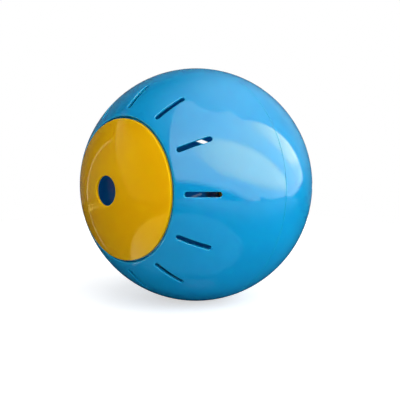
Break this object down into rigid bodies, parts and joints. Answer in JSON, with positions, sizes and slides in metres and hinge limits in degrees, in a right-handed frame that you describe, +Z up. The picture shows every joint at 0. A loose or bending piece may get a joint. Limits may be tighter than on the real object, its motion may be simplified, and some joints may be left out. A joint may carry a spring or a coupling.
{
  "type": "treat dispensing ball",
  "caption": "Hollow slotted ball for pets: two glossy half shells twist together at the seam, and a snap-in lid at each end lets treats drop out of a round outlet.",
  "frame": {"origin": "centre of the ball, on the lid axis and in the plane of the seam", "axes": "+Y along the lid axis from the front lid to the rear lid, +Z up, one slot of each half straight up"},
  "size_m": [0.12, 0.119, 0.12],
  "materials": {
    "shell_plastic": "gloss",
    "lid_plastic": "gloss"
  },
  "bodies": {
    "front_half": {"front_shell": "shell_plastic"},
    "rear_half": {"rear_shell": "shell_plastic"},
    "front_lid": {"front_lid": "lid_plastic"},
    "rear_lid": {"rear_lid": "lid_plastic"}
  },
  "joints": [
    {"name": "half_twist", "type": "hinge", "parent": "front_half", "child": "rear_half", "pos_m": [0, 0, 0], "axis": [0, 1, 0], "range_deg": [0, 25]},
    {"name": "front_lid_pull", "type": "slide", "parent": "front_half", "child": "front_lid", "axis": [0, -1, 0], "range_m": [0, 0.04]},
    {"name": "rear_lid_pull", "type": "slide", "parent": "rear_half", "child": "rear_lid", "axis": [0, 1, 0], "range_m": [0, 0.04]}
  ]
}
